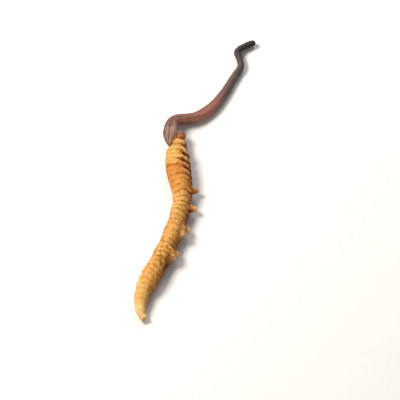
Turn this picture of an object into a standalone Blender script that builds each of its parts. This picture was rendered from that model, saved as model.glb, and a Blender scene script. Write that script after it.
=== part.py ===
"""A dried cordyceps lying on its side: a ringed moth larva, its head shell, and the fungus stalk
that grew out beside the head. The back of the larva faces -X, its belly and legs face +X, the head
and the stalk point to +Y, and the whole lies on the plane z = 0."""

import math

import bmesh
import bpy
import numpy as np
from mathutils import Euler, Vector, noise

MM = 0.001

# Driving dimensions, in millimetres until they reach a mesh
GAP = 0.3  # clear space kept between two pieces that grew against each other
REST_DEPTH = 0.25  # how much of the round underside is flattened where it lies

# The middle line of the larva, from the collar behind the head to the tail tip: x, y, lift
# of the underside above the plane
BODY_ROUTE = (
    (-3.3, 10.6, 0.2),
    (-3.7, 7.1, 0.0),
    (-3.8, 4.5, 0.0),
    (-3.6, 2.0, 0.0),
    (-3.1, -0.8, 0.0),
    (-2.7, -3.5, 0.0),
    (-2.8, -6.2, 0.0),
    (-3.3, -8.9, 0.0),
    (-4.05, -11.6, 0.0),
    (-5.25, -15.3, 0.0),
    (-6.95, -19.6, 0.0),
    (-8.75, -23.2, 0.0),
    (-10.3, -26.5, 0.0),
    (-11.3, -29.3, 0.1),
    (-11.6, -32.3, 0.4),
    (-11.05, -35.5, 0.8),
)
# Share of the route, width across
BODY_WIDTHS = (
    (0.0, 2.9),
    (0.03, 3.6),
    (0.06, 4.3),
    (0.10, 4.85),
    (0.15, 5.1),
    (0.20, 5.0),
    (0.25, 4.62),
    (0.30, 4.22),
    (0.34, 4.05),
    (0.44, 4.05),
    (0.50, 4.2),
    (0.585, 4.2),
    (0.65, 4.35),
    (0.72, 4.3),
    (0.78, 4.15),
    (0.835, 3.7),
    (0.875, 3.25),
    (0.917, 2.65),
    (0.948, 2.05),
    (0.975, 1.4),
    (1.0, 0.8),
)
BODY_HEIGHT = 0.93  # height of the cross-section against its width
BODY_SIDES = 24
COLLAR_CAP = 0.2  # how far the two ends round off past the route
TAIL_CAP = 0.25
RING_COUNT = 38  # fine rings of the skin
RING_PROFILE = (1, 0.1, 0)  # how deep the groove is at each station of a ring
RING_UNEVENNESS = 0.3  # how far a ring may slip along the body, as a share of a station
RING_DEPTH = 0.14
FOLD_DEPTH = 0.16  # more depth between the thick folds behind the head
FOLD_PLACE = 0.15  # share of the route where these folds are the deepest
FOLD_REACH = 0.14
BELLY_CLOCK = 35  # degrees round the body where the folds are the deepest
SEGMENTS = (0.094, 0.134, 0.175, 0.217, 0.258, 0.31, 0.40, 0.51, 0.63, 0.735, 0.815, 0.885, 0.955)
SEGMENT_SWELL = 0.07
SEGMENT_REACH = 0.05  # half length of a swell, as a share of the route

# The middle line of the stalk, from its foot beside the head to its tip: x, y, height of the line
STALK_ROUTE = (
    (-5.55, 7.6, 3.1),
    (-5.65, 9.2, 3.0),
    (-5.5, 10.8, 2.75),
    (-5.3, 12.5, 2.4),
    (-4.8, 14.1, 2.1),
    (-3.6, 15.1, 1.8),
    (-1.7, 15.5, 1.5),
    (0.1, 16.0, 1.25),
    (2.0, 17.2, 1.05),
    (4.0, 19.1, 0.93),
    (6.3, 22.5, 0.83),
    (8.6, 26.8, 0.78),
    (9.7, 28.6, 0.8),
    (9.95, 29.9, 0.9),
    (9.6, 31.4, 1.0),
    (9.2, 32.7, 1.05),
    (9.8, 33.7, 1.05),
    (11.1, 34.5, 1.0),
    (13.0, 35.4, 0.95),
)
STALK_WIDTHS = (
    (0.0, 0.5),
    (0.024, 1.3),
    (0.045, 1.95),
    (0.066, 2.5),
    (0.086, 2.95),
    (0.107, 3.1),
    (0.135, 2.95),
    (0.17, 2.65),
    (0.23, 2.5),
    (0.39, 2.45),
    (0.46, 2.25),
    (0.58, 1.9),
    (0.71, 1.58),
    (0.80, 1.42),
    (0.875, 1.45),
    (0.92, 1.25),
    (0.965, 1.32),
    (1.0, 0.95),
)
STALK_SIDES = 18
STALK_STATIONS = 56
RIDGE_COUNT = 6
RIDGE_DEPTH = 0.11  # of the radius, on the foot
RIDGE_END = 0.26  # share of the route where the foot's ridges have faded
STALK_CAP = 0.35

# Head shell: place, half sizes, turn about Z in degrees
HEAD_PLACE = (-3.1, 10.63, 2.2)
HEAD_HALF = (1.1, 1.32, 1.08)
HEAD_TURN = 6
HEAD_TAPER = 0.16  # how much narrower the front is than the middle
HEAD_SQUARENESS = 0.27  # how much blunter than a ball the front of the shell is
SEAM_DEPTH = 0.08  # of the half size, down the middle of the crown
SEAM_WIDTH = 0.3

# Leg stubs: share of the body route, degrees round the body from the belly towards the top, reach
# from the middle line, radius at the root, degrees of lean towards the tail. Each pair has a leg on
# the lower flank, which stands out past the belly, and one on the upper flank; the first two of
# these have shrunk almost into the skin.
LEG_SIDES = 8
LEG_PROFILE = ((0.35, 0), (0.35, 1.5), (0.62, 1.45), (0.75, 1.12), (0.87, 0.9), (0.97, 0.56), (1.0, 0))
BELLY_LEG_PAIRS = (
    ((0.288, -3, 3.55, 0.58, 2), (0.285, 28, 2.30, 0.60, 30)),
    ((0.360, -2, 3.68, 0.66, 12), (0.370, 30, 2.24, 0.60, 30)),
    ((0.462, -2, 3.34, 0.60, 16), (0.436, 20, 2.54, 0.74, 62)),
    ((0.598, -2, 3.10, 0.58, 10), (0.592, 16, 2.64, 0.95, 45)),
)
TAIL_LEGS = ((0.935, -30, 1.40, 0.40, 30), (0.938, 14, 1.30, 0.40, 30))
BACK_KNOBS = (
    (0.739, 168, 2.50, 0.40, 0),
    (0.756, 166, 2.58, 0.56, 0),
    (0.788, 166, 2.42, 0.56, 0),
    (0.820, 166, 2.26, 0.50, 0),
)

# Fat lobes on both flanks behind the head, the folded chest legs: share, height
CHEST_LOBES = (
    (0.025, 0.1),
    (0.078, 0.28),
    (0.127, 0.36),
    (0.17, 0.36),
    (0.2065, 0.3),
    (0.24, 0.2),
    (0.272, 0.1),
)
LOBE_CLOCKS = (35, -28)  # degrees round the body
LOBE_SPREAD = 58
LOBE_LENGTH = 0.021  # half, as a share of the route
LOBE_SLANT = 0.034  # share by which the lobes run back towards the tail down the belly flank
SLANT_CLOCK = -15
SLANT_SPREAD = 95

# Slow swells and dents of the belly flank: share, half length, height
FLANK_SWELLS = ((0.685, 0.035, -0.34), (0.745, 0.03, 0.2), (0.825, 0.045, -0.22))
SWELL_CLOCK = 5
SWELL_SPREAD = 70


def clear_scene():
    for obj in list(bpy.data.objects):
        bpy.data.objects.remove(obj, do_unlink=True)


def value_at(table, share):
    """The table's value at a share of the route."""
    shares, values = zip(*table)
    return float(np.interp(share, shares, values))


class Route:
    """A smooth curve through hand-set points, read by the share of its length."""

    STEPS = 24

    def __init__(self, points):
        points = [Vector(p) for p in points]
        ends = [2 * points[0] - points[1], *points, 2 * points[-1] - points[-2]]
        self.line = [
            self.between(*ends[i : i + 4], step / self.STEPS)
            for i in range(len(points) - 1)
            for step in range(self.STEPS)
        ] + [points[-1]]
        hops = [(b - a).length for a, b in zip(self.line, self.line[1:])]
        self.shares = np.concatenate([[0], np.cumsum(hops)]) / sum(hops)

    @staticmethod
    def between(p0, p1, p2, p3, t):
        return 0.5 * (
            2 * p1
            + (p2 - p0) * t
            + (2 * p0 - 5 * p1 + 4 * p2 - p3) * t**2
            + (3 * (p1 - p2) + p3 - p0) * t**3
        )

    def at(self, share):
        return Vector([float(np.interp(share, self.shares, [p[i] for p in self.line])) for i in range(3)])

    def frame(self, share):
        """Middle point, direction of travel, side direction (left of travel) and up direction."""
        step = 0.004
        travel = (self.at(min(share + step, 1)) - self.at(max(share - step, 0))).normalized()
        up = (Vector((0, 0, 1)) - travel * travel.z).normalized()
        return self.at(share), travel, up.cross(travel), up


BODY = Route(BODY_ROUTE)
STALK = Route(STALK_ROUTE)


def body_frame(share):
    """The route holds the lift of the underside, so the middle line lies half a height above it."""
    point, travel, side, up = BODY.frame(share)
    half_height = value_at(BODY_WIDTHS, share) / 2 * BODY_HEIGHT
    point.z += half_height - REST_DEPTH
    return point, travel, side, up


def settle(point):
    """The point in metres, with what would reach below the plane flattened onto it."""
    return Vector((point.x, point.y, max(point.z, 0))) * MM


def material(name, colour, roughness):
    made = bpy.data.materials.new(name)
    made.use_nodes = True
    shader = made.node_tree.nodes["Principled BSDF"]
    shader.inputs["Base Color"].default_value = (*colour, 1)
    shader.inputs["Roughness"].default_value = roughness
    shader.inputs["Metallic"].default_value = 0
    return made


def add_object(name, bm, finish=None):
    bmesh.ops.recalc_face_normals(bm, faces=bm.faces[:])
    mesh = bpy.data.meshes.new(name)
    bm.to_mesh(mesh)
    bm.free()
    mesh.shade_smooth()
    mesh.set_sharp_from_angle(angle=math.radians(60))
    obj = bpy.data.objects.new(name, mesh)
    bpy.context.scene.collection.objects.link(obj)
    if finish:
        mesh.materials.append(finish)
    else:
        obj.hide_render = True
        obj.display_type = "WIRE"
    return obj


def tube(sides, stations, place):
    """A grid rolled into a tube: place(turn, index) gives each corner, and the ends close to a point."""
    bm = bmesh.new()
    bmesh.ops.create_grid(bm, x_segments=sides, y_segments=stations - 1, size=0.5)
    for vert in bm.verts:
        turn = round((vert.co.x + 0.5) * sides) % sides
        vert.co = place(turn * math.tau / sides, round((vert.co.y + 0.5) * (stations - 1)))
    bmesh.ops.remove_doubles(bm, verts=bm.verts[:], dist=1e-7)
    return bm


def bump(share, centre, half_width):
    """1 at the centre, fading smoothly to 0 at the half width."""
    distance = abs(share - centre) / half_width
    return 0.5 + 0.5 * math.cos(math.pi * distance) if distance < 1 else 0


def ring_depth(share, angle):
    """How deep the grooves of the skin are: most on the belly flank behind the head."""
    belly = 0.5 + 0.5 * math.cos(angle - math.radians(BELLY_CLOCK))
    shrinking = 1 - 0.5 * share
    return RING_DEPTH * (0.7 + 0.5 * belly) * shrinking + FOLD_DEPTH * belly * bump(share, FOLD_PLACE, FOLD_REACH)


def flank_form(share, angle):
    """What the chest lobes and the slow swells add to the half width."""
    clock = (math.degrees(angle) + 180) % 360 - 180  # 0 at the belly, 90 at the top
    slanted = share - LOBE_SLANT * bump(clock, SLANT_CLOCK, SLANT_SPREAD)
    lobes = sum(
        height * bump(slanted, centre, LOBE_LENGTH) * bump(clock, lobe_clock, LOBE_SPREAD)
        for centre, height in CHEST_LOBES
        for lobe_clock in LOBE_CLOCKS
    )
    swells = sum(
        height * bump(share, centre, half_length) * bump(clock, SWELL_CLOCK, SWELL_SPREAD)
        for centre, half_length, height in FLANK_SWELLS
    )
    return lobes + swells


def body_radius(share, angle, groove):
    """Half width of the skin at a clock angle; groove is 1 in the valley between two rings."""
    nearest = min(SEGMENTS, key=lambda centre: abs(centre - share))
    segment = SEGMENT_SWELL * (2 * bump(share, nearest, SEGMENT_REACH) - 1)
    form = value_at(BODY_WIDTHS, share) / 2 + segment + flank_form(share, angle)
    return form - ring_depth(share, angle) * groove


def body_mesh():
    """Each fine ring has a groove and a rounded crest, in slightly uneven steps."""
    per_ring = len(RING_PROFILE)
    stations = per_ring * RING_COUNT + 1

    def place(angle, index):
        if index in (0, stations + 1):
            point, travel, _, _ = body_frame(float(index > 0))
            return settle(point + travel * (TAIL_CAP if index else -COLLAR_CAP))
        ring = index - 1
        share = ring / (stations - 1)
        if 0 < share < 1:
            share += RING_UNEVENNESS / stations * noise.noise(Vector((ring // per_ring * 1.7, 0, 0)))
        point, _, side, up = body_frame(share)
        radius = body_radius(share, angle, RING_PROFILE[ring % per_ring])
        return settle(point + (side * math.cos(angle) + up * math.sin(angle) * BODY_HEIGHT) * radius)

    return tube(BODY_SIDES, stations + 2, place)


def leg_mesh(share, clock, reach, root, lean):
    """A blunt stub from inside the body to its tip, widest where it leaves the skin."""
    start, travel, side, up = body_frame(share)
    clock, lean = math.radians(clock), math.radians(lean)
    out = side * math.cos(clock) + up * math.sin(clock)
    axis = (out * math.cos(lean) + travel * math.sin(lean)).normalized()
    across = axis.cross(travel).normalized()
    along = axis.cross(across)

    def place(angle, index):
        share_out, width = LEG_PROFILE[index]
        ring = (across * math.cos(angle) + along * math.sin(angle)) * root * width
        return settle(start + axis * reach * share_out / math.cos(lean) + ring)

    return tube(LEG_SIDES, len(LEG_PROFILE), place)


def stalk_mesh(grow=0.0):
    """The stalk with its fluted foot; grow makes it thicker all over, to carve the room for it."""

    def place(angle, index):
        share = min(max((index - 1) / (STALK_STATIONS - 3), 0), 1)
        point, travel, side, up = STALK.frame(share)
        if index in (0, STALK_STATIONS - 1):
            return settle(point + travel * (STALK_CAP + grow) * (1 if index else -1))
        ridges = RIDGE_DEPTH * math.cos(RIDGE_COUNT * angle) * max(0, 1 - share / RIDGE_END)
        radius = value_at(STALK_WIDTHS, share) / 2 * (1 + ridges) + grow
        return settle(point + (side * math.cos(angle) + up * math.sin(angle)) * radius)

    return tube(STALK_SIDES, STALK_STATIONS, place)


def head_mesh(grow=0.0):
    """A ball with a blunt, narrower front and a shallow seam over the crown."""
    bm = bmesh.new()
    bmesh.ops.create_uvsphere(bm, u_segments=18, v_segments=12, radius=1)
    turn = Euler((0, 0, math.radians(HEAD_TURN))).to_matrix()
    for vert in bm.verts:
        if vert.co.y > 0:
            vert.co.y = vert.co.y ** (1 - HEAD_SQUARENESS) * (1 - HEAD_SQUARENESS / 4)
        narrowing = 1 - HEAD_TAPER * vert.co.y
        vert.co.x *= narrowing
        vert.co.z *= narrowing
        seam = 1 - SEAM_DEPTH * bump(vert.co.x, 0, SEAM_WIDTH) * (vert.co.z > -SEAM_WIDTH)
        size = Vector([half * seam + grow for half in HEAD_HALF])
        local = Vector([a * b for a, b in zip(vert.co, size)])
        vert.co = settle(turn @ local + Vector(HEAD_PLACE))
    return bm


def join_or_cut(target, operation, name, meshes):
    """Adds the helper meshes to the target, or takes them away from it."""
    helpers = bpy.data.collections.new(name)
    bpy.context.scene.collection.children.link(helpers)
    for number, bm in enumerate(meshes):
        helper = add_object(f"{name}_{number}", bm)
        bpy.context.scene.collection.objects.unlink(helper)
        helpers.objects.link(helper)
    modifier = target.modifiers.new(name, "BOOLEAN")
    modifier.operation = operation
    modifier.solver = "EXACT"
    modifier.operand_type = "COLLECTION"
    modifier.collection = helpers


def build_body():
    skin = material("dried_skin", (0.62, 0.30, 0.08), 0.55)
    body = add_object("larva_body", body_mesh(), skin)
    stubs = [leg for pair in BELLY_LEG_PAIRS for leg in pair] + [*TAIL_LEGS, *BACK_KNOBS]
    join_or_cut(body, "UNION", "legs", [leg_mesh(*stub) for stub in stubs])
    join_or_cut(body, "DIFFERENCE", "socket", [stalk_mesh(GAP), head_mesh(GAP)])


def build_head():
    shell = material("head_shell", (0.36, 0.15, 0.08), 0.4)
    head = add_object("head_capsule", head_mesh(), shell)
    join_or_cut(head, "DIFFERENCE", "stalk_room", [stalk_mesh(GAP)])


def build_stalk():
    fungus = material("stalk_flesh", (0.12, 0.075, 0.065), 0.6)
    add_object("stalk", stalk_mesh(), fungus)


clear_scene()
build_body()
build_head()
build_stalk()
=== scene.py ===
# A dried cordyceps lying on its side: the finished look of its larva, head shell and fungus stalk
import math

import bmesh
import bpy
import numpy as np
from mathutils import Euler, Matrix, Vector, kdtree, noise


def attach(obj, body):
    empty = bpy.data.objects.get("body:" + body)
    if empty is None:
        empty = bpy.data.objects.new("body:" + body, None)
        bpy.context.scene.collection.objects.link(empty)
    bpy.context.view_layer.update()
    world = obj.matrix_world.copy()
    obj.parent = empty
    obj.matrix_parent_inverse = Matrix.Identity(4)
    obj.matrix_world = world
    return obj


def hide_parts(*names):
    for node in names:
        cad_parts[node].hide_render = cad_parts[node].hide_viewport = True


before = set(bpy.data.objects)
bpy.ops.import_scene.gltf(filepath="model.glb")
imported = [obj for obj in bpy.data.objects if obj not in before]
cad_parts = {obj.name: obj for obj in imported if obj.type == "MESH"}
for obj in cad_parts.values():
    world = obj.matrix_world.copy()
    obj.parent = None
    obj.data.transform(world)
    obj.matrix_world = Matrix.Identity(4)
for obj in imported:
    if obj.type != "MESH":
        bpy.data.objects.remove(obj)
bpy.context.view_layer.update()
print("frame loaded:", ", ".join(sorted(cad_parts)))

millimetre = 0.001  # pieces are shaped in millimetres and turned to metres once they are done
mergeDistance = 1e-5  # for the seam and the closed ends of a rolled tube, in millimetres
noiseStep = (17.3, 5.1, 9.7)  # each seed of a noise reads it this much further on


def linear(hexColour):
    values = [int(hexColour[i : i + 2], 16) / 255 for i in (1, 3, 5)]
    return (*[v / 12.92 if v <= 0.04045 else ((v + 0.055) / 1.055) ** 2.4 for v in values], 1)


def addNode(tree, kind, settings=None, links=None):
    node = tree.nodes.new(kind)
    for name, value in (settings or {}).items():
        if isinstance(name, int) or name in node.inputs:
            node.inputs[name].default_value = value
        else:
            setattr(node, name, value)
    for name, source in (links or {}).items():
        tree.links.new(source, node.inputs[name])
    return node


def setStops(node, stops):
    ramp = node.color_ramp
    while len(ramp.elements) < len(stops):
        ramp.elements.new(1)
    for element, (place, colour) in zip(ramp.elements, stops):
        element.position = place
        element.color = linear(colour) if isinstance(colour, str) else (colour, colour, colour, 1)
    return node.outputs["Color"]


def newMaterial(name):
    made = bpy.data.materials.new(name)
    made.use_nodes = True
    tree = made.node_tree
    tree.nodes.clear()
    shader = addNode(tree, "ShaderNodeBsdfPrincipled")
    addNode(tree, "ShaderNodeOutputMaterial", links={"Surface": shader.outputs["BSDF"]})
    return made, tree, shader


def perMetre(size):
    return 1 / (size * millimetre)  # noise scale for a pattern of this size in millimetres


def unit(vectors):
    return vectors / np.linalg.norm(vectors, axis=-1, keepdims=True)


def fade(value, start, end):
    t = np.clip((value - start) / (end - start), 0, 1)
    return t * t * (3 - 2 * t)


def bump(value, centre, halfWidth):
    return 0.5 + 0.5 * np.cos(math.pi * np.clip(abs(value - centre) / halfWidth, 0, 1))


def clockBump(degrees, centre, halfWidth):
    # a bump round a tube, also across the place where the degrees start again
    return bump((degrees - centre + 180) % 360, 180, halfWidth)


def roundEnds(shares, startLength, endLength):
    # 1 along a tube, and down to 0 at its two ends in the outline of a ball
    fromStart = np.clip(shares / startLength, 0, 1)
    fromEnd = np.clip((1 - shares) / endLength, 0, 1)
    return np.sqrt(1 - (1 - fromStart) ** 2) * np.sqrt(1 - (1 - fromEnd) ** 2)


def noiseAt(points, size, seed=0):
    shift = Vector([seed * step for step in noiseStep])
    return np.array([noise.noise(Vector(p) + shift) for p in points / size])


class Route:
    # A smooth curve through given points, read by the share of its length
    def __init__(self, points, stepsPerSpan=24):
        points = np.array(points, float)
        ends = [2 * points[0] - points[1], *points, 2 * points[-1] - points[-2]]
        steps = np.arange(stepsPerSpan)[:, None] / stepsPerSpan
        spans = [self.between(*ends[i : i + 4], steps) for i in range(len(points) - 1)]
        self.line = np.concatenate([*spans, points[-1:]])
        hops = np.linalg.norm(np.diff(self.line, axis=0), axis=1)
        self.length = hops.sum()
        self.shares = np.concatenate([[0], np.cumsum(hops)]) / self.length

    @staticmethod
    def between(p0, p1, p2, p3, t):
        return 0.5 * (
            2 * p1
            + (p2 - p0) * t
            + (2 * p0 - 5 * p1 + 4 * p2 - p3) * t**2
            + (3 * (p1 - p2) + p3 - p0) * t**3
        )

    def at(self, share):
        return np.stack([np.interp(share, self.shares, axis) for axis in self.line.T], axis=-1)

    def frame(self, share):
        # middle point, direction of travel, side direction (left of travel) and up direction
        step = 0.004
        travel = unit(self.at(np.minimum(share + step, 1)) - self.at(np.maximum(share - step, 0)))
        up = unit(np.array([0, 0, 1]) - travel * travel[..., 2:])
        return self.at(share), travel, np.cross(up, travel), up


def tableAt(table, share):
    shares, values = zip(*table)
    return np.interp(share, shares, values)


def reshape(bm, change):
    before = np.array([vert.co[:] for vert in bm.verts])
    for vert, place in zip(bm.verts, change(before)):
        vert.co = place


def rolledTube(bm, sides, stations, place):
    # a grid rolled into a tube: place(turns, shares) gives its corners, and its ends close to a point
    made = bmesh.ops.create_grid(bm, x_segments=sides, y_segments=stations, size=0.5)["verts"]
    grid = np.array([vert.co[:] for vert in made])
    turns = np.round((grid[:, 0] + 0.5) * sides) % sides * math.tau / sides
    for vert, corner in zip(made, place(turns, grid[:, 1] + 0.5)):
        vert.co = corner
    bmesh.ops.remove_doubles(bm, verts=made, dist=mergeDistance)


def readRoute(line, lineShares, route, points):
    # share along the route, turn round it and distance from it, for points near it
    tree = kdtree.KDTree(len(line))
    for index, place in enumerate(line):
        tree.insert(place, index)
    tree.balance()
    nearest = np.array([tree.find(point)[1] for point in points])
    shares = lineShares[nearest]
    _, travel, side, up = route.frame(shares)
    away = points - line[nearest]
    shares = np.clip(shares + (away * travel).sum(axis=1) / route.length, 0, 1)
    turns = np.arctan2((away * up).sum(axis=1), (away * side).sum(axis=1))
    return shares, turns, np.linalg.norm(away - travel * (away * travel).sum(axis=1)[:, None], axis=1)


def smooth(bm, passes):
    for _ in range(passes):
        bmesh.ops.smooth_vert(
            bm, verts=bm.verts[:], factor=0.5, use_axis_x=True, use_axis_y=True, use_axis_z=True
        )


def finishPiece(name, bm, material, attributes=None):
    # turns the shaped piece to metres and gives it its material and its painted values
    bmesh.ops.recalc_face_normals(bm, faces=bm.faces[:])
    bmesh.ops.scale(bm, vec=(millimetre,) * 3, verts=bm.verts[:])
    mesh = bpy.data.meshes.new(name)
    bm.to_mesh(mesh)
    bm.free()
    mesh.shade_smooth()
    mesh.materials.append(material)
    for key, values in (attributes or {}).items():
        mesh.attributes.new(key, "FLOAT", "POINT").data.foreach_set("value", values.astype(np.float32))
    piece = bpy.data.objects.new(name, mesh)
    bpy.context.scene.collection.objects.link(piece)
    print(f"{name}: {len(mesh.polygons)} faces")
    return piece


def helperObject(name, bm, stretch):
    bmesh.ops.recalc_face_normals(bm, faces=bm.faces[:])
    bmesh.ops.scale(bm, vec=stretch, verts=bm.verts[:])
    mesh = bpy.data.meshes.new(name)
    bm.to_mesh(mesh)
    bm.free()
    helper = bpy.data.objects.new(name, mesh)
    bpy.context.scene.collection.objects.link(helper)
    return helper


def addRemesh(blank, name, voxel):
    remesh = blank.modifiers.new(name, "REMESH")
    remesh.mode = "VOXEL"
    remesh.voxel_size = voxel


def remeshed(bm, voxel, finer, name, cutters):
    # joins closed overlapping forms into one even skin, after the cutters have taken their room
    # away; the skin is that much finer along Y
    stretch, shrink = (1, finer, 1), (1, 1 / finer, 1)
    blank = helperObject(name, bm, stretch)
    addRemesh(blank, "join", voxel)
    helpers = [helperObject("cutter", cutter, stretch) for cutter in cutters]
    for number, helper in enumerate(helpers):
        cut = blank.modifiers.new(f"room{number}", "BOOLEAN")
        cut.operation = "DIFFERENCE"
        cut.solver = "EXACT"
        cut.object = helper
    addRemesh(blank, "even", voxel)
    shaped = bmesh.new()
    shaped.from_object(blank, bpy.context.evaluated_depsgraph_get())
    bmesh.ops.scale(shaped, vec=shrink, verts=shaped.verts[:])
    for used in (blank, *helpers):
        bpy.data.objects.remove(used)
    return shaped


stalk = {
    # middle line from the foot beside the head to the tip: x, y, height of the line
    "route": (
        (-5.5, 7.6, 3.1),
        (-5.53, 9.2, 3.0),
        (-5.38, 10.8, 2.75),
        (-5.22, 12.5, 2.4),
        (-4.8, 14.1, 2.1),
        (-3.6, 15.1, 1.8),
        (-1.7, 15.5, 1.5),
        (0.1, 16.0, 1.25),
        (2.0, 17.2, 1.05),
        (4.0, 19.1, 0.93),
        (6.3, 22.5, 0.83),
        (8.6, 26.8, 0.78),
        (9.7, 28.6, 0.8),
        (9.95, 29.9, 0.9),
        (9.6, 31.4, 1.0),
        (9.2, 32.7, 1.05),
        (9.8, 33.7, 1.05),
        (11.1, 34.5, 1.0),
        (13.1, 35.45, 0.95),
    ),
    # share of the route, width
    "widths": (
        (0.0, 0.5),
        (0.024, 1.3),
        (0.045, 1.95),
        (0.066, 2.5),
        (0.086, 2.88),
        (0.107, 3.0),
        (0.135, 2.88),
        (0.17, 2.65),
        (0.23, 2.5),
        (0.39, 2.45),
        (0.46, 2.25),
        (0.58, 1.9),
        (0.71, 1.58),
        (0.80, 1.42),
        (0.875, 1.45),
        (0.92, 1.3),
        (0.965, 1.44),
        (1.0, 1.15),
    ),
    "sides": 100,
    "stations": 520,
    "startCap": 0.02,  # share of the route over which each end rounds off
    "tipCap": 0.016,
    "ridgeCount": 6,
    "ridgeDepth": 0.05,  # of the radius, on the foot
    "ridgesFade": (0.05, 0.27),  # the shares between which the foot's ridges fade
    # the groove between the foot's two lobes: turn and half width in radians
    "cleft": (math.pi / 2, 0.3),
    "cleftDepth": 1.2,  # against the ridges' depth
    # wrinkles, fine wrinkles, folds, grain and lumps: how fast they change round the stem and, for
    # each millimetre, along it
    "noises": ((2.4, 0.16), (5, 0.3), (0.9, 2.6), (4.2, 5.5), (0.8, 0.45)),
    "wrinkleDepth": 0.085,
    "wrinkleWidth": 2.5,  # how wide the stem is where the wrinkles are that deep
    "bends": ((0.25, 0.1), (0.8, 0.06), (0.91, 0.05)),  # share, half length, where folds run across
    "bendFoldDepth": 0.06,
    "grainDepth": 0.03,
    "roughPart": (0.5, 0.72),  # the shares between which the rough fertile part begins
    "lumpDepth": 0.05,
    "footFold": (0.125, 0.018),  # the fold where the foot ends: share, half length
    "footFoldDepth": 0.08,
    "hollowDepth": 0.2,  # how far a wrinkle lies below the even round when its painted shade is full
    # painted shade on sides of the stem: degrees round the stem (0 left of the way to the tip, 90 on
    # top), half width
    "footShade": (30, 90),
    "footShadeFade": (0.12, 0.24),  # shares
    "footDarkness": 0.85,
    "shaftShade": (208, 58),
    "shaftShadeFade": (0.34, 0.54),
    # painted shade on the upper left of the shaft
    "upperLeftShadeSide": (55, 85),
    # share of the route, how much shade is painted on that side there
    "upperLeftShade": (
        (0.2, 0),
        (0.27, 0.3),
        (0.33, 0.6),
        (0.4, 0.65),
        (0.46, 0.5),
        (0.52, 0.35),
        (0.6, 0.25),
        (0.7, 0.1),
    ),
    "skinFilm": (152, 66),  # the film of the larva's skin that is drawn up the foot
    "skinFilmFade": (0.095, 0.05),
    "skinFilmStrength": 0.9,
    "room": (40, 160, -0.05),  # what is cut out of the skin for it: sides, stations, growth
}

stalkRoute = Route(stalk["route"])


def stalkCorners(turns, shares, grow=0.0):
    middle, _, side, up = stalkRoute.frame(shares)
    radius = tableAt(stalk["widths"], shares) / 2
    out = side * np.cos(turns)[:, None] + up * np.sin(turns)[:, None]
    onFoot = 1 - fade(shares, *stalk["ridgesFade"])
    ridges = 0.5 * np.cos(stalk["ridgeCount"] * turns) + 0.5 * np.cos(2 * turns)
    ridges -= stalk["cleftDepth"] * bump(turns, *stalk["cleft"])
    radius *= 1 + stalk["ridgeDepth"] * ridges * onFoot
    if not grow:  # the room cut for it in the skin stays plain
        radius += stalkRelief(turns, shares)
    cap = roundEnds(shares, stalk["startCap"], stalk["tipCap"])
    corners = middle + out * ((radius + grow) * cap)[:, None]
    corners[:, 2] = np.maximum(corners[:, 2], 0)
    return corners


def stalkRelief(turns, shares):
    # lengthwise wrinkles of a dried stem, cross folds inside its bends and a grainy upper part
    around = np.stack([np.cos(turns), np.sin(turns), shares * 0], axis=1)
    along = shares[:, None] * np.array([0, 0, stalkRoute.length])
    wrinkles, fineWrinkles, folds, grain, lumps = (
        noiseAt(around * roundRate + along * alongRate, 1, seed)
        for seed, (roundRate, alongRate) in enumerate(stalk["noises"], 1)
    )
    bends = sum(bump(shares, centre, halfLength) for centre, halfLength in stalk["bends"])
    rough = fade(shares, *stalk["roughPart"])
    width = tableAt(stalk["widths"], shares) / stalk["wrinkleWidth"]
    relief = stalk["wrinkleDepth"] * (wrinkles + 0.6 * fineWrinkles) * (1 - 0.5 * rough) * width
    relief += stalk["bendFoldDepth"] * folds * bends
    relief += stalk["grainDepth"] * grain * (0.35 + rough) + stalk["lumpDepth"] * lumps
    relief -= stalk["footFoldDepth"] * bump(shares + 0.008 * lumps, *stalk["footFold"])
    return relief


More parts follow.
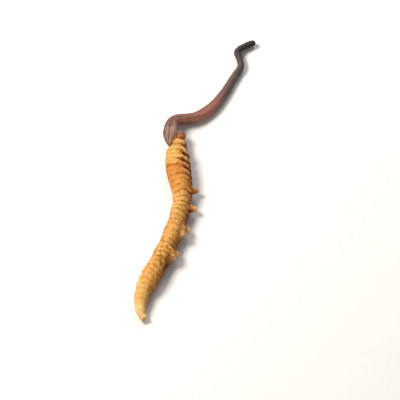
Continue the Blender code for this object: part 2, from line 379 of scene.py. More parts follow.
def stalkMaterial():
    # Dried fungus stem: tough felted threads, shrunk into fine lengthwise wrinkles, which gives a
    # matt surface with a faint leathery gloss, dull pink at the foot, red brown on the shaft and
    # near black at the tip
    material, tree, shader = newMaterial("driedFungusStem")
    along, hollowShade, paintedShade, skinned = (
        addNode(tree, "ShaderNodeAttribute", {"attribute_name": name}).outputs["Fac"]
        for name in ("along", "hollowShade", "paintedShade", "skinned")
    )
    place = addNode(tree, "ShaderNodeTexCoord").outputs["Object"]
    patches = addNode(
        tree,
        "ShaderNodeTexNoise",
        {"Scale": perMetre(1.6), "Detail": 4, "Roughness": 0.6},
        {"Vector": place},
    ).outputs["Fac"]
    speckle = addNode(
        tree,
        "ShaderNodeTexNoise",
        {"Scale": perMetre(0.22), "Detail": 3, "Roughness": 0.7},
        {"Vector": place},
    ).outputs["Fac"]
    shiftedAlong = addNode(
        tree, "ShaderNodeMath", {"operation": "MULTIPLY_ADD", 1: 0.12}, {0: patches, 2: along}
    ).outputs["Value"]
    base = setStops(
        addNode(tree, "ShaderNodeValToRGB", links={"Fac": shiftedAlong}),
        (
            (0.06, "#BA9484"),
            (0.165, "#B68C7C"),
            (0.195, "#9C7262"),
            (0.225, "#84584A"),
            (0.34, "#8E5846"),
            (0.40, "#AE6E5A"),
            (0.50, "#A2665A"),
            (0.64, "#6C504A"),
            (0.78, "#52433E"),
            (0.90, "#332C29"),
            (1.0, "#1C1816"),
        ),
    )
    # painted shade in the wrinkles
    darker = addNode(
        tree,
        "ShaderNodeMix",
        {"data_type": "RGBA", "blend_type": "MULTIPLY", 7: linear("#6E5650")},
        {0: hollowShade, 6: base},
    ).outputs[2]
    dusty = addNode(
        tree,
        "ShaderNodeMapRange",
        {"From Min": 0.48, "From Max": 0.75, "To Max": 0.3},
        {"Value": speckle},
    ).outputs["Result"]
    dusted = addNode(
        tree,
        "ShaderNodeMix",
        {"data_type": "RGBA", "blend_type": "SCREEN", 7: linear("#8A7670")},
        {0: dusty, 6: darker},
    ).outputs[2]
    # painted shade on the foot's outer side, the shaft's underside and its upper left
    shaded = addNode(
        tree,
        "ShaderNodeMix",
        {"data_type": "RGBA", "blend_type": "MULTIPLY", 7: linear("#806A60")},
        {0: paintedShade, 6: dusted},
    ).outputs[2]
    finalColour = addNode(
        tree, "ShaderNodeMix", {"data_type": "RGBA", 7: linear("#BC8048")}, {0: skinned, 6: shaded}
    ).outputs[2]
    # the threads are a few hundredths of a millimetre thick, drawn coarser so that they show
    threads = addNode(
        tree, "ShaderNodeTexNoise", {"Scale": perMetre(0.12), "Detail": 4}, {"Vector": place}
    ).outputs["Fac"]
    relief = addNode(
        tree, "ShaderNodeBump", {"Strength": 0.6, "Distance": 0.03 * millimetre}, {"Height": threads}
    )
    gloss = addNode(tree, "ShaderNodeMapRange", {"To Min": 0.5, "To Max": 0.72}, {"Value": speckle})
    shader.inputs["IOR"].default_value = 1.45
    tree.links.new(finalColour, shader.inputs["Base Color"])
    tree.links.new(gloss.outputs["Result"], shader.inputs["Roughness"])
    tree.links.new(relief.outputs["Normal"], shader.inputs["Normal"])
    return material


def buildStalk():
    bm = bmesh.new()
    rolledTube(bm, stalk["sides"], stalk["stations"], stalkCorners)
    points = np.array([vert.co[:] for vert in bm.verts])
    shares, turns, reach = readRoute(stalkRoute.line, stalkRoute.shares, stalkRoute, points)
    evenRadius = tableAt(stalk["widths"], shares) / 2
    # painted shade in the wrinkles, the deeper below the even round the darker
    hollowShade = np.clip((evenRadius - reach) / stalk["hollowDepth"] + 0.05, 0, 1)
    # painted shade: the foot is darkest on its outer side, the shaft along its underside and its upper
    # left
    degrees = np.degrees(turns)
    onFoot = stalk["footDarkness"] * (1 - fade(shares, *stalk["footShadeFade"]))
    onShaft = fade(shares, *stalk["shaftShadeFade"])
    paintedShade = onFoot * clockBump(degrees, *stalk["footShade"])
    paintedShade += onShaft * clockBump(degrees, *stalk["shaftShade"])
    paintedShade += tableAt(stalk["upperLeftShade"], shares) * clockBump(degrees, *stalk["upperLeftShadeSide"])
    nearSkin = stalk["skinFilmStrength"] * fade(shares, *stalk["skinFilmFade"])
    skinned = nearSkin * clockBump(degrees, *stalk["skinFilm"]) * (1 - 0.5 * hollowShade)
    attributes = {
        "along": shares,
        "hollowShade": hollowShade,
        "paintedShade": np.clip(paintedShade, 0, 1),
        "skinned": skinned,
    }
    piece = finishPiece("stalkFlesh", bm, stalkMaterial(), attributes)
    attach(piece, "root")
    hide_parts("stalk")


larva = {
    # middle line from the collar behind the head to the tail tip: x, y, lift of the underside
    "route": (
        (-3.3, 10.6, 0.2),
        (-3.7, 7.1, 0.0),
        (-3.8, 4.5, 0.0),
        (-3.6, 2.0, 0.0),
        (-3.1, -0.8, 0.0),
        (-2.7, -3.5, 0.0),
        (-2.8, -6.2, 0.0),
        (-3.3, -8.9, 0.0),
        (-4.05, -11.6, 0.0),
        (-5.25, -15.3, 0.0),
        (-6.95, -19.6, 0.0),
        (-8.75, -23.2, 0.0),
        (-10.3, -26.5, 0.0),
        (-11.3, -29.3, 0.1),
        (-11.6, -32.3, 0.4),
        (-11.05, -35.5, 0.8),
    ),
    # share of the route, width across
    "widths": (
        (0.0, 2.9),
        (0.03, 3.6),
        (0.06, 4.3),
        (0.10, 4.85),
        (0.15, 5.1),
        (0.20, 5.0),
        (0.25, 4.62),
        (0.30, 4.22),
        (0.34, 4.05),
        (0.44, 4.05),
        (0.50, 4.2),
        (0.585, 4.2),
        (0.65, 4.35),
        (0.72, 4.3),
        (0.78, 4.15),
        (0.835, 3.7),
        (0.875, 3.25),
        (0.917, 2.65),
        (0.948, 2.05),
        (0.975, 1.4),
        (1.0, 0.8),
    ),
    "height": 0.93,  # height of the cross-section against its width
    "restDepth": 0.25,  # how much of the round underside is flattened where it lies
    "sides": 56,
    "stations": 240,
    "collarCap": 0.018,
    "collarSlant": 0.007,  # the collar reaches further forward on the back
    "tailCap": 0.014,
    "voxel": 0.122,
    "finerAlong": 1.6,  # the skin is this much finer along the body than round it
    "evenings": 8,  # smoothing passes once the forms are joined
    "lineSteps": 1200,  # points of the middle line that places on the skin are read from
    # below, a pair with "side" in its name is degrees round the body (0 on the belly flank, 90 on
    # top) and half width, one with "part" is share of the route and half length, and one with
    # "fade" is the two shares between which something begins or ends
    "ringCount": 38,
    "ringDepth": 0.13,
    "ringDrift": (0.6, 0.16, 0.2),  # in rings: from broad noise, patchy noise, lumps on the chest
    "ringSharpness": 1.8,
    "ringLimits": (0.3, 1.4),  # the faintest and the deepest, before their strength below
    "ringSide": (78, 115),
    "ringStartFade": (0.05, 0.075),
    "ringEndFade": (0.95, 0.985),
    "lesserDepth": 0.75,  # against the rings, of the grooves halfway between them
    "lesserSharpness": 7,
    # share of the route, how clear the rings are there
    "ringStrength": (
        (0.05, 0.8),
        (0.14, 0.5),
        (0.19, 0.34),
        (0.24, 0.36),
        (0.28, 0.66),
        (0.32, 0.8),
        (0.42, 0.85),
        (0.5, 0.75),
        (0.59, 0.85),
        (0.68, 0.65),
        (0.77, 0.36),
        (0.86, 0.34),
        (0.95, 0.2),
    ),
    "segments": (0.094, 0.134, 0.175, 0.217, 0.258, 0.31, 0.40, 0.51, 0.63, 0.735, 0.815, 0.885, 0.955),
    "segmentSwell": 0.08,
    "segmentLength": 0.05,  # half the share of the route that a segment's swell takes
    # stubs: share of the route, degrees round the body, reach from the middle line, radius,
    # degrees of lean towards the tail, how pale the tip is
    "bellyLegs": (
        (0.288, -3, 3.6, 0.56, 2, 0.12),
        (0.285, 28, 2.26, 0.6, 30, 0),
        (0.362, -2, 3.5, 0.64, 10, 1),
        (0.370, 30, 2.2, 0.6, 30, 0),
        (0.462, -2, 3.34, 0.6, 16, 1),
        (0.430, 20, 2.54, 0.74, 62, 0.45),
        (0.598, -2, 3.1, 0.58, 10, 0.9),
        (0.592, 16, 2.64, 0.95, 45, 0.45),
    ),
    "tailLegs": ((0.945, -30, 1.2, 0.38, 45, 0.2), (0.966, 6, 0.95, 0.33, 48, 0.15)),
    "backKnobs": (
        (0.739, 168, 2.5, 0.4, 0, 0.5),
        (0.756, 166, 2.46, 0.6, 0, 0.8),
        (0.788, 166, 2.32, 0.6, 0, 0.8),
        (0.820, 166, 2.18, 0.52, 0, 0.7),
    ),
    # the skin drawn up where the stalk grew out of it: x, y, z, radius
    "joinLumps": (
        (-4.15, 9.95, 2.5, 0.45),
        (-4.38, 9.6, 2.65, 0.62),
        (-4.7, 8.8, 2.75, 0.6),
        (-4.95, 8.3, 2.85, 0.5),
    ),
    # broad, patchy, fine, finest, lengthwise, stub, lumpy and uneven noise: how fast it changes
    # along Y against the other axes, size in millimetres
    "noises": (
        (1.0, 3.2),
        (1.0, 1.5),
        (1.0, 0.5),
        (1.0, 0.24),
        (0.4, 0.6),
        (1.0, 0.45),
        (1.0, 0.8),
        (0.6, 1.9),
    ),
    "ringNoise": 1.15,  # millimetres along the body in which the depth of the rings changes
    # share of the route, how much shade is painted on the belly flank there
    "flankShadeAmount": (
        (0.0, 0.9),
        (0.2, 0.9),
        (0.27, 1.0),
        (0.5, 1.0),
        (0.57, 0.95),
        (0.61, 0.8),
        (0.67, 1.0),
        (0.72, 0.95),
        (0.76, 0.82),
        (0.84, 0.62),
        (0.93, 0.6),
        (0.97, 0.4),
    ),
    "flankShadeClock": -20,
    "flankShadeHalfWidths": (121, 89),  # degrees, towards the head and towards the tail
    "flankShadeFade": (0.62, 0.72),
    "backSide": (195, 91),  # the painted shade of the back
    "backPart": (0.58, 0.32),
    "backShadeAmounts": (0.38, 0.44),  # all along, and more in that part
    # a leg's outline, from inside the body to the middle of its flat tip: share of the reach, radius
    "legProfile": (
        (0.35, 0),
        (0.36, 1.5),
        (0.62, 1.44),
        (0.73, 1.18),
        (0.82, 1.02),
        (0.89, 0.95),
        (0.95, 0.84),
        (0.99, 0.58),
        (1.0, 0.25),
        (1.0, 0),
    ),
    "legSides": 18,
    "legUneven": (0.1, 0.06),  # how far a leg is out of round, towards three sides and towards two
    "legTurning": 60,  # radians for the whole route, so that no two legs look the same
    # fat lobes on both flanks behind the head, the folded chest legs: share, height
    "chestLobes": (
        (0.025, 0.1),
        (0.078, 0.28),
        (0.127, 0.36),
        (0.17, 0.36),
        (0.2065, 0.3),
        (0.24, 0.2),
        (0.272, 0.1),
    ),
    "lobeClocks": (35, -28),  # degrees round the body of their two rows
    "lobeSpread": 58,
    "lobeLength": 0.021,
    "lobeDepth": 0.44,  # of the grooves between the lobes
    "lobeSharpness": 2.2,
    "chestPart": (0.13, 0.17),
    "lobedSide": (18, 76),
    # slow swells and dents of the belly flank: share, half length, height
    "flankSwells": ((0.7, 0.045, -0.5), (0.785, 0.035, 0.22), (0.862, 0.045, -0.3)),
    "swellSide": (5, 70),
    # share by which the chest folds run back towards the tail down the flank
    "chestSlant": 0.034,
    "slantSide": (-15, 95),
    "slantStartFade": (0.02, 0.08),
    "slantEndFade": (0.18, 0.36),
    "topFoldPart": (0.148, 0.012),  # one chest fold runs on over the top
    "topFoldSide": (75, 45),
    "topFoldDepth": 0.12,
    "neckPart": (0.052, 0.012),  # the groove behind the collar
    "neckDepth": 0.13,
    # the two long creases where the skin has sunk between back and belly
    "upperCreaseSide": (44, 16),
    "upperCreasePart": (0.56, 0.2),
    "lowerCreaseSide": (10, 11),
    "lowerCreasePart": (0.45, 0.17),
    "creaseDrift": (16, 9),  # degrees by which they waver
    "creaseDepth": 0.11,
    "wrinklePart": (0.7, 0.24),  # lengthwise wrinkles that cross the rings
    "wrinkleDepth": 0.1,
    "lumpDepth": 0.05,
    "grainDepths": (0.04, 0.02),  # fine and finest
    "tailFade": (0.6, 0.8),  # from there on the skin is smoother
    "stubRoughness": 0.11,
    "stubReach": (0.08, 0.4),  # millimetres out of the round body in which a stub begins
    # what is painted dark brown as shade: between the lobes, in the ring grooves of the belly flank, low
    # under the chest and along the underside
    "deepRingSide": (5, 62),
    "deepChestPart": (0.12, 0.15),
    "deepChestSide": (-25, 50),
    "lowSide": (-35, 50),
    "lowFade": (0.97, 0.88),
    # what is painted pale: painted highlights on the crests on the chest and past it, on the lobes, on
    # the fold's edge and along the upper side of the tail, and the leg tips
    "crestPart": (0.1, 0.07),
    "crestFade": (0.27, 0.33),
    "lobeCrestSide": (48, 28),
    "foldCrestPart": (0.134, 0.012),
    "foldCrestSide": (85, 35),
    "palerTip": (1.15, 0.6),  # millimetres from a tip within which its paleness begins and is full
    "paleTailSide": (165, 45),
    "paleTailPart": (0.93, 0.07),
}

larvaRoute = Route(larva["route"])


def larvaMiddle(shares):
    # the route holds the lift of the underside, so the middle line lies half a height above it
    middle, travel, side, up = larvaRoute.frame(shares)
    halfHeight = tableAt(larva["widths"], shares) / 2 * larva["height"]
    middle[..., 2] += halfHeight - larva["restDepth"]
    return middle, travel, side, up


def slantedShares(degrees, shares):
    # down the belly flank the chest folds don't run straight round but back towards the tail
    slant = larva["chestSlant"] * fade(shares, *larva["slantStartFade"])
    slant *= 1 - 0.7 * fade(shares, *larva["slantEndFade"])
    return shares - slant * bump(degrees, *larva["slantSide"])


def larvaRadius(turns, shares):
    # half width of the skin without its rings: segments, chest lobes, swells of the flank
    nearest = np.abs(np.subtract.outer(shares, larva["segments"])).min(axis=1)
    radius = tableAt(larva["widths"], shares) / 2
    radius += larva["segmentSwell"] * (2 * bump(nearest, 0, larva["segmentLength"]) - 1)
    degrees = np.degrees(turns)
    slanted = slantedShares(degrees, shares)
    for centre, height in larva["chestLobes"]:
        for clock in larva["lobeClocks"]:
            spread = clockBump(degrees, clock, larva["lobeSpread"])
            radius += height * bump(slanted, centre, larva["lobeLength"]) * spread
    onFlank = bump(degrees, *larva["swellSide"])
    for centre, halfLength, height in larva["flankSwells"]:
        radius += height * bump(shares, centre, halfLength) * onFlank
    return radius


def larvaCorners(turns, shares):
    middle, _, side, up = larvaMiddle(shares)
    collar = larva["collarCap"] + larva["collarSlant"] * np.cos(turns)
    radius = larvaRadius(turns, shares) * roundEnds(shares, collar, larva["tailCap"])
    out = side * np.cos(turns)[:, None] + up * (np.sin(turns) * larva["height"])[:, None]
    return middle + out * radius[:, None]


def addStub(bm, share, clock, reach, radius, lean):
    start, travel, side, up = (Vector(v) for v in larvaMiddle(share))
    clock, lean = math.radians(clock), math.radians(lean)
    out = side * math.cos(clock) + up * math.sin(clock)
    axis = (out * math.cos(lean) + travel * math.sin(lean)).normalized()
    across = axis.cross(travel).normalized()
    around = np.array([across, axis.cross(across)])
    length = reach / math.cos(lean)
    profile = np.array(larva["legProfile"])
    steps = len(profile) - 1
    threeSided, twoSided = larva["legUneven"]

    def corners(turns, shares):
        outline = profile[np.round(shares * steps).astype(int)]
        ring = np.cos(turns)[:, None] * around[0] + np.sin(turns)[:, None] * around[1]
        uneven = threeSided * np.cos(3 * turns + larva["legTurning"] * share)
        uneven += twoSided * np.cos(2 * turns)
        ring *= (1 + uneven)[:, None] * radius
        return np.array(start) + np.array(axis) * length * outline[:, :1] + ring * outline[:, 1:]

    rolledTube(bm, larva["legSides"], steps, corners)
    return np.array(start + axis * length)


def larvaForm():
    bm = bmesh.new()
    rolledTube(bm, larva["sides"], larva["stations"], larvaCorners)
    stubs = (*larva["bellyLegs"], *larva["tailLegs"], *larva["backKnobs"])
    tips = np.array([addStub(bm, *stub[:-1]) for stub in stubs])
    paleness = [stub[-1] for stub in stubs]
    for x, y, z, radius in larva["joinLumps"]:
        bmesh.ops.create_icosphere(
            bm, subdivisions=3, radius=radius, matrix=Matrix.Translation((x, y, z))
        )
    stalkRoom = bmesh.new()
    sides, stations, grow = stalk["room"]
    rolledTube(
        stalkRoom, sides, stations, lambda turns, shares: stalkCorners(turns, shares, grow)
    )
    headRoom = bmesh.new()
    headForm(headRoom, *head["room"])
    bm = remeshed(bm, larva["voxel"], larva["finerAlong"], "larvaBlank", (stalkRoom, headRoom))
    smooth(bm, larva["evenings"])
    return bm, tips, paleness


def larvaRelief(points, shares, turns, reach):
    # what the skin adds to the form, in millimetres outwards, and the values it is painted by: painted
    # shade in a groove, deeper painted shade in one of the dark grooves between chest lobes and low on
    # the flank, a painted highlight on a crest, and on a stub
    degrees = np.degrees(turns)
    onStub = fade(reach - larvaRadius(turns, shares), *larva["stubReach"])
    offStub = 1 - onStub
    chest = bump(shares, *larva["chestPart"])
    lobed = chest * np.minimum(1.6 * bump(degrees, *larva["lobedSide"]), 1)
    smoothTail = fade(shares, *larva["tailFade"])
    slanted = slantedShares(degrees, shares)
    broad, patchy, fine, finest, lengthwise, stubGrain, lumpy, uneven = (
        noiseAt(points * (1, stretch, 1), size, seed)
        for seed, (stretch, size) in enumerate(larva["noises"], 1)
    )
    alongOnly = slanted[:, None] * (larvaRoute.length, 0, 0)
    perRing = noiseAt(alongOnly, larva["ringNoise"], 9)  # some rings are deep, others faint

    broadDrift, patchyDrift, chestDrift = larva["ringDrift"]
    phase = slanted * larva["ringCount"] + broadDrift * broad + patchyDrift * patchy
    phase += chestDrift * chest * lumpy
    groove = (0.5 - 0.5 * np.cos(math.tau * phase)) ** larva["ringSharpness"]
    halfway = 0.5 + 0.5 * np.cos(math.tau * (phase + 0.12 * lumpy))
    halfway **= larva["lesserSharpness"]
    ends = fade(shares, *larva["ringStartFade"]) * (1 - fade(shares, *larva["ringEndFade"])) * offStub
    # the rings are clearest between the top and the belly flank
    ringed = 0.45 + 0.6 * bump(degrees, *larva["ringSide"])
    ringed *= tableAt(larva["ringStrength"], shares) * ends
    strength = np.clip(0.95 + 1.1 * perRing + 0.4 * uneven, *larva["ringLimits"])
    strength *= ringed * (1 - 0.4 * lobed)
    lesser = 0.7 * fade(uneven + patchy, -0.5, 0.25) * ringed
    rings = strength * (groove - 0.25) + larva["lesserDepth"] * lesser * (halfway - 0.15)
    relief = -larva["ringDepth"] * rings

    centres = [centre for centre, _ in larva["chestLobes"]]
    waved = slanted + 0.004 * patchy
    lobePhase = np.interp(waved, centres, range(len(centres)))
    betweenLobes = (0.5 - 0.5 * np.cos(math.tau * lobePhase)) ** larva["lobeSharpness"] * lobed
    overTop = bump(waved, *larva["topFoldPart"]) * bump(degrees, *larva["topFoldSide"])
    neck = bump(shares, *larva["neckPart"]) * offStub
    relief -= larva["lobeDepth"] * betweenLobes
    relief -= larva["topFoldDepth"] * overTop
    relief -= larva["neckDepth"] * neck

    drifts = [drift * broad for drift in larva["creaseDrift"]]
    upperCrease = bump(degrees + drifts[0], *larva["upperCreaseSide"])
    upperCrease *= bump(shares, *larva["upperCreasePart"]) * fade(broad + patchy, -0.2, 0.4)
    lowerCrease = bump(degrees + drifts[1], *larva["lowerCreaseSide"])
    lowerCrease *= bump(shares, *larva["lowerCreasePart"])
    crease = (upperCrease + 0.7 * lowerCrease) * offStub
    lengthwise *= bump(shares, *larva["wrinklePart"])
    fineDepth, finestDepth = larva["grainDepths"]
    relief -= larva["creaseDepth"] * crease
    relief += larva["wrinkleDepth"] * lengthwise
    relief += larva["lumpDepth"] * lumpy * (0.5 + 1.3 * chest - 0.2 * smoothTail)
    relief += fineDepth * (1 - 0.375 * smoothTail) * fine + finestDepth * finest
    relief += larva["stubRoughness"] * onStub * stubGrain

    # painted shade in the ring grooves, the lesser grooves, the creases, the neck, the top fold, between
    # wrinkles and in lumps on the chest
    hollowShade = 0.9 * groove * strength + 0.75 * halfway * lesser
    hollowShade += 0.5 * crease + 0.8 * neck + 0.7 * overTop
    hollowShade += 1.2 * np.maximum(-lengthwise, 0) - (0.6 - 0.3 * smoothTail) * fine
    hollowShade += 0.6 * chest * np.maximum(-lumpy, 0)
    # deep painted shade, dark brown: between the chest lobes, in the flank's ring grooves, low under the
    # chest and along the underside
    underChest = bump(shares, *larva["deepChestPart"]) * bump(degrees, *larva["deepChestSide"])
    low = bump(degrees, *larva["lowSide"]) * fade(shares, *larva["lowFade"])
    deepShade = np.maximum(1.4 * betweenLobes, 0.6 * low)
    deepShade = np.maximum(deepShade, 0.7 * groove * strength * bump(degrees, *larva["deepRingSide"]))
    deepShade = np.maximum(deepShade, 0.85 * underChest)
    # painted highlights: the crests of the rings, the lobes and the edge of the top fold are painted
    # pale
    paleAlong = np.maximum(bump(shares, *larva["crestPart"]), 0.7 * fade(shares, *larva["crestFade"]))
    ringCrest = (1 - groove) * fade(patchy + 0.6 * lumpy, -0.3, 0.3) * (0.2 + 0.8 * paleAlong)
    lobeCrest = lobed * (1 - betweenLobes) ** 2 * bump(degrees, *larva["lobeCrestSide"])
    foldCrest = bump(slanted, *larva["foldCrestPart"]) * bump(degrees, *larva["foldCrestSide"])
    crest = np.maximum(np.maximum(ringCrest, 2 * lobeCrest), 1.5 * foldCrest)
    return relief, np.clip(hollowShade, 0, 1), np.clip(deepShade, 0, 1), crest, onStub


def larvaMaterial():
    # Dried larva skin: thin chitin over packed fungus threads, like waxy leather, which gives a satin
    # gloss on the ring crests and matt brown grooves, golden orange and pale at the tail; the grooves'
    # brown, the browner flanks and the dark creases are painted shade, and the pale crests painted
    # highlights
    material, tree, shader = newMaterial("driedLarvaSkin")
    along, hollowShade, deepShade, flankShade, pale = (
        addNode(tree, "ShaderNodeAttribute", {"attribute_name": name}).outputs["Fac"]
        for name in ("along", "hollowShade", "deepShade", "flankShade", "pale")
    )
    place = addNode(tree, "ShaderNodeTexCoord").outputs["Object"]
    broad, patches, speckle, grain = (
        addNode(
            tree,
            "ShaderNodeTexNoise",
            {"Scale": perMetre(size), "Detail": detail, "Roughness": roughness},
            {"Vector": place},
        ).outputs["Fac"]
        for size, detail, roughness in ((5, 2, 0.5), (2.4, 3, 0.55), (0.4, 4, 0.65), (0.14, 4, 0.6))
    )
    shiftedAlong = addNode(
        tree, "ShaderNodeMath", {"operation": "MULTIPLY_ADD", 1: 0.05}, {0: patches, 2: along}
    ).outputs["Value"]
    crest = setStops(
        addNode(tree, "ShaderNodeValToRGB", links={"Fac": shiftedAlong}),
        (
            (0.054, "#C68C50"),
            (0.08, "#CC9242"),
            (0.125, "#D8A450"),
            (0.168, "#DAA85A"),
            (0.184, "#CC8442"),
            (0.225, "#D08946"),
            (0.277, "#DC9A4E"),
            (0.343, "#DCA866"),
            (0.476, "#D4A05A"),
            (0.59, "#DAA052"),
            (0.723, "#DEA458"),
            (0.828, "#DEA452"),
            (0.885, "#E2AE5C"),
            (0.93, "#E8CC8E"),
            (0.962, "#E8CA8E"),
            (0.975, "#E2A45A"),
        ),
    )
    # the colour of the painted shade in the grooves
    groove = setStops(
        addNode(tree, "ShaderNodeValToRGB", links={"Fac": along}),
        (
            (0.0, "#946818"),
            (0.1, "#966A18"),
            (0.18, "#9A5818"),
            (0.36, "#8E661C"),
            (0.48, "#90661A"),
            (0.76, "#9C6A20"),
            (0.95, "#B08840"),
        ),
    )
    creaminess = addNode(
        tree,
        "ShaderNodeMapRange",
        {"From Min": 0.48, "From Max": 0.62, "To Max": 0.5},
        {"Value": broad},
    ).outputs["Result"]
    patchiness = addNode(  # the tail is the most even in colour
        tree,
        "ShaderNodeMapRange",
        {"From Min": 0.86, "From Max": 0.93, "To Min": 0.36, "To Max": 0.08},
        {"Value": along},
    ).outputs["Result"]
    warmth, mottling = (
        addNode(
            tree,
            "ShaderNodeMapRange",
            {"From Min": start, "From Max": end},
            {"Value": pattern, "To Max": patchiness},
        ).outputs["Result"]
        for pattern, start, end in ((patches, 0.48, 0.68), (speckle, 0.5, 0.72))
    )
    upperSide = crest
    for amount, tint, blend in (
        (creaminess, "#EEC47C", "MIX"),
        (warmth, "#F0A060", "MULTIPLY"),
        (mottling, "#CC9040", "MULTIPLY"),
    ):
        upperSide = addNode(
            tree,
            "ShaderNodeMix",
            {"data_type": "RGBA", "blend_type": blend, 7: linear(tint)},
            {0: amount, 6: upperSide},
        ).outputs[2]
    # painted shade in the grooves, toward the groove colour
    colour = addNode(
        tree, "ShaderNodeMix", {"data_type": "RGBA"}, {0: hollowShade, 6: upperSide, 7: groove}
    ).outputs[2]
    # painted shade on the flanks and the back, deep painted shade in the creases and along the
    # underside, then the pale leg tips and the painted highlights
    for amount, tint, blend in (
        (flankShade, "#9C5416", "MULTIPLY"),
        (deepShade, "#5C2600", "MIX"),
        (pale, "#F0BE88", "MIX"),
    ):
        colour = addNode(
            tree,
            "ShaderNodeMix",
            {"data_type": "RGBA", "blend_type": blend, 7: linear(tint)},
            {0: amount, 6: colour},
        ).outputs[2]
    pores = addNode(
        tree, "ShaderNodeTexVoronoi", {"Scale": perMetre(0.28), "Randomness": 1}, {"Vector": place}
    )
    heights = addNode(
        tree,
        "ShaderNodeMath",
        {"operation": "MULTIPLY_ADD", 1: 0.6},
        {0: pores.outputs["Distance"], 2: grain},
    )
    relief = addNode(
        tree,
        "ShaderNodeBump",
        {"Strength": 0.5, "Distance": 0.035 * millimetre},
        {"Height": heights.outputs["Value"]},
    )
    satin = addNode(tree, "ShaderNodeMapRange", {"To Min": 0.45, "To Max": 0.7}, {"Value": speckle})
    gloss = addNode(
        tree, "ShaderNodeMapRange", {"To Max": 1.0}, {"Value": deepShade, "To Min": satin.outputs["Result"]}
    )
    shader.inputs["IOR"].default_value = 1.5
    shader.inputs["Specular IOR Level"].default_value = 0.18
    shader.inputs["Specular Tint"].default_value = linear("#F2AC5C")
    shader.inputs["Subsurface Weight"].default_value = 0.06
    shader.inputs["Subsurface Radius"].default_value = (1.0, 0.45, 0.15)
    shader.inputs["Subsurface Scale"].default_value = 0.5 * millimetre
    tree.links.new(colour, shader.inputs["Base Color"])
    tree.links.new(gloss.outputs["Result"], shader.inputs["Roughness"])
    tree.links.new(relief.outputs["Normal"], shader.inputs["Normal"])
    return material


def paintedFlankShade(shares, degrees):
    # painted shade in brown: the belly flank gets the most, the back a little more than the side that
    # lies on top
    towardsHead, towardsTail = larva["flankShadeHalfWidths"]
    halfWidth = towardsHead + (towardsTail - towardsHead) * fade(shares, *larva["flankShadeFade"])
    belly = tableAt(larva["flankShadeAmount"], shares) * bump(degrees, larva["flankShadeClock"], halfWidth)
    everywhere, more = larva["backShadeAmounts"]
    back = everywhere + more * bump(shares, *larva["backPart"])
    return np.maximum(belly, back * clockBump(degrees, *larva["backSide"]))


def settled(points):
    # what would reach below the surface it lies on is flattened onto it
    points[:, 2] = np.maximum(points[:, 2], 0)
    return points


def buildLarva():
    bm, tips, paleness = larvaForm()
    bm.normal_update()
    points = np.array([vert.co[:] for vert in bm.verts])
    normals = np.array([vert.normal[:] for vert in bm.verts])
    lineShares = np.linspace(0, 1, larva["lineSteps"])
    shares, turns, reach = readRoute(larvaMiddle(lineShares)[0], lineShares, larvaRoute, points)
    relief, hollowShade, deepShade, crest, onStub = larvaRelief(points, shares, turns, reach)
    reshape(bm, lambda before: settled(before + normals * relief[:, None]))
    smooth(bm, 1)
    degrees = np.degrees(turns)
    tipDistance = np.linalg.norm(points[:, None, :] - tips[None], axis=2)
    rim = (fade(tipDistance, *larva["palerTip"]) * paleness).max(axis=1)
    # a painted highlight along the upper side of the tail near its end
    tail = clockBump(degrees, *larva["paleTailSide"]) * bump(shares, *larva["paleTailPart"])
    # painted shade: browner on the belly flank and the back, less on the stubs
    flankShade = paintedFlankShade(shares, degrees) * (1 - 0.45 * onStub)
    crest *= 1 - 0.9 * flankShade * fade(shares, 0.2, 0.3)  # past the chest the painted highlights on the crests stay off the painted flank shade, so only the upper side is pale
    # paler leg tips, with the painted highlights of the tail and the crests
    pale = rim + 0.55 * tail + 0.45 * crest * (1 - hollowShade) * (1 - deepShade)
    attributes = {
        "along": 0.95 * shares,  # leaves room for the noise that shifts the colours
        "hollowShade": hollowShade,
        "deepShade": deepShade,
        "pale": np.clip(pale, 0, 1),
        "flankShade": flankShade,
    }
    piece = finishPiece("larvaSkin", bm, larvaMaterial(), attributes)
    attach(piece, "root")
    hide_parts("larva_body")


head = {
    "place": (-3.1, 10.63, 2.2),
    "half": (1.1, 1.32, 1.08),
    "taper": 0.16,  # how much narrower the front is than the middle
    "turn": 6,  # degrees about Z
    "frontPower": 0.725,  # below 1, which makes the front of the cap squarer
    "frontLength": 0.934,
    "seam": 0.05,  # depth of the seam over the crown, as a share of the half size
    "seamWidth": 0.22,
    "seamLowest": -0.3,
    "segments": 72,
    "rings": 48,
    "dents": ((0.1, 0.9), (0.03, 0.35)),  # depth against the size, size in millimetres
    "paling": (-0.4, 0.6),  # where it grows paler towards the front, in half sizes
    "room": (24, 16, 0.04),  # what is cut out of the skin for it: segments, rings, growth
}


def headForm(bm, segments, rings, grow=0.0):
    made = bmesh.ops.create_uvsphere(bm, u_segments=segments, v_segments=rings, radius=1)["verts"]
    turn = Euler((0, 0, math.radians(head["turn"]))).to_matrix()
    for vert in made:
        onSeam = float(bump(vert.co.x, 0, head["seamWidth"])) * (vert.co.z > head["seamLowest"])
        seam = 1 - head["seam"] * onSeam
        if vert.co.y > 0:
            vert.co.y = vert.co.y ** head["frontPower"] * head["frontLength"]
        narrowing = 1 - head["taper"] * vert.co.y
        vert.co.x *= narrowing
        vert.co.z *= narrowing
        local = Vector([a * (half * seam + grow) for a, half in zip(vert.co, head["half"])])
        vert.co = turn @ local + Vector(head["place"])


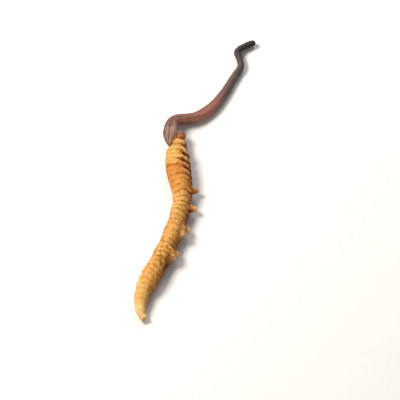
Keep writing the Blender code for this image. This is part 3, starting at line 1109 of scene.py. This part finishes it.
def headMaterial():
    # Larva head shell: hard chitin, worn and dusty, which gives a soft gloss on red brown that is
    # paler towards the front
    material, tree, shader = newMaterial("hardHeadShell")
    place = addNode(tree, "ShaderNodeTexCoord").outputs["Object"]
    forward = addNode(tree, "ShaderNodeSeparateXYZ", links={"Vector": place}).outputs["Y"]
    patches = addNode(
        tree, "ShaderNodeTexNoise", {"Scale": perMetre(0.7), "Detail": 3}, {"Vector": place}
    ).outputs["Fac"]
    brown, pale = (head["place"][1] + share * head["half"][1] for share in head["paling"])
    towardsFront = addNode(
        tree,
        "ShaderNodeMapRange",
        {"From Min": brown * millimetre, "From Max": pale * millimetre},
        {"Value": forward},
    ).outputs["Result"]
    mixed = addNode(
        tree, "ShaderNodeMath", {"operation": "MULTIPLY_ADD", 1: 0.7}, {0: patches, 2: towardsFront}
    ).outputs["Value"]
    shade = addNode(
        tree, "ShaderNodeMath", {"operation": "SUBTRACT", 1: 0.35}, {0: mixed}
    ).outputs["Value"]
    colour = setStops(
        addNode(tree, "ShaderNodeValToRGB", links={"Fac": shade}),
        ((0.0, "#A25E2C"), (0.2, "#94582F"), (0.4, "#7A4A32"), (0.7, "#805A46"), (1.0, "#967870")),
    )
    pits = addNode(tree, "ShaderNodeTexNoise", {"Scale": perMetre(0.2), "Detail": 3}, {"Vector": place})
    relief = addNode(
        tree,
        "ShaderNodeBump",
        {"Strength": 0.35, "Distance": 0.03 * millimetre},
        {"Height": pits.outputs["Fac"]},
    )
    shader.inputs["Roughness"].default_value = 0.58
    shader.inputs["IOR"].default_value = 1.5
    shader.inputs["Specular Tint"].default_value = linear("#F0B890")
    tree.links.new(colour, shader.inputs["Base Color"])
    tree.links.new(relief.outputs["Normal"], shader.inputs["Normal"])
    return material


def buildHead():
    bm = bmesh.new()
    headForm(bm, head["segments"], head["rings"])
    points = np.array([vert.co[:] for vert in bm.verts])
    dents = 1 + sum(
        depth * noiseAt(points, size, seed) for seed, (depth, size) in enumerate(head["dents"], 1)
    )
    middle = np.array(head["place"])
    reshape(bm, lambda before: middle + (before - middle) * dents[:, None])
    piece = finishPiece("headShell", bm, headMaterial())
    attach(piece, "root")
    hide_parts("head_capsule")


stage = {
    "pixel": 0.215,  # millimetres in the plane of the object for one pixel of the 400 pixel frame
    "pictureMiddle": (1.118, -4.183, 0.0),  # the point of the floor at the middle of the frame
    "halfPicture": 200,  # pixels
    "elevation": 58,
    "lens": 1500,  # far away, so that the picture is nearly parallel
    "sight": 10,  # metres
    "floorHalf": 1500,  # millimetres
    "roomLight": 0.29,
    # place, width in millimetres, watts, colour
    "lights": {
        "windowLight": ((-240, 85, 290), 180, 1.85, "#FFFAF4"),
        "backLight": ((80, 330, 220), 160, 0.55, "#FFFFFF"),
    },
}


def buildFloor():
    bm = bmesh.new()
    bmesh.ops.create_grid(bm, x_segments=1, y_segments=1, size=stage["floorHalf"])
    # Uncoated card, which gives a matt, nearly white ground
    material, tree, shader = newMaterial("paleFloorCard")
    place = addNode(tree, "ShaderNodeTexCoord").outputs["Object"]
    fibre = addNode(tree, "ShaderNodeTexNoise", {"Scale": perMetre(1.5), "Detail": 3}, {"Vector": place})
    colour = setStops(
        addNode(tree, "ShaderNodeValToRGB", links={"Fac": fibre.outputs["Fac"]}),
        ((0.0, "#EFEDEA"), (1.0, "#F3F1EE")),
    )
    shader.inputs["Roughness"].default_value = 0.9
    tree.links.new(colour, shader.inputs["Base Color"])
    finishPiece("floorCard", bm, material)


def addLight(name, place, size, power, colour):
    light = bpy.data.lights.new(name, "AREA")
    light.shape = "DISK"
    light.size = size * millimetre
    light.energy = power
    light.color = linear(colour)[:3]
    lamp = bpy.data.objects.new(name, light)
    lamp.location = Vector(place) * millimetre
    lamp.rotation_euler = (-Vector(place)).to_track_quat("-Z", "Y").to_euler()
    lamp.visible_camera = False
    bpy.context.scene.collection.objects.link(lamp)


def buildStage():
    buildFloor()
    world = bpy.data.worlds.new("softRoom")
    world.use_nodes = True
    background = world.node_tree.nodes["Background"]
    background.inputs["Color"].default_value = linear("#FFFFFF")
    background.inputs["Strength"].default_value = stage["roomLight"]
    scene = bpy.context.scene
    scene.world = world
    scene.view_settings.view_transform = "Standard"
    for name, settings in stage["lights"].items():
        addLight(name, *settings)
    camera = bpy.data.cameras.new("photoCamera")
    camera.lens = stage["lens"]
    camera.clip_end = stage["sight"]
    view = bpy.data.objects.new("photoCamera", camera)
    elevation = math.radians(stage["elevation"])
    back = Vector((0, -math.cos(elevation), math.sin(elevation)))
    distance = stage["halfPicture"] * stage["pixel"] / (camera.sensor_width / 2 / camera.lens)
    view.location = (Vector(stage["pictureMiddle"]) + back * distance) * millimetre
    view.rotation_euler = (-back).to_track_quat("-Z", "Y").to_euler()
    scene.collection.objects.link(view)
    scene.camera = view
    print("floor, light and camera placed")


buildStalk()
buildLarva()
buildHead()
buildStage()
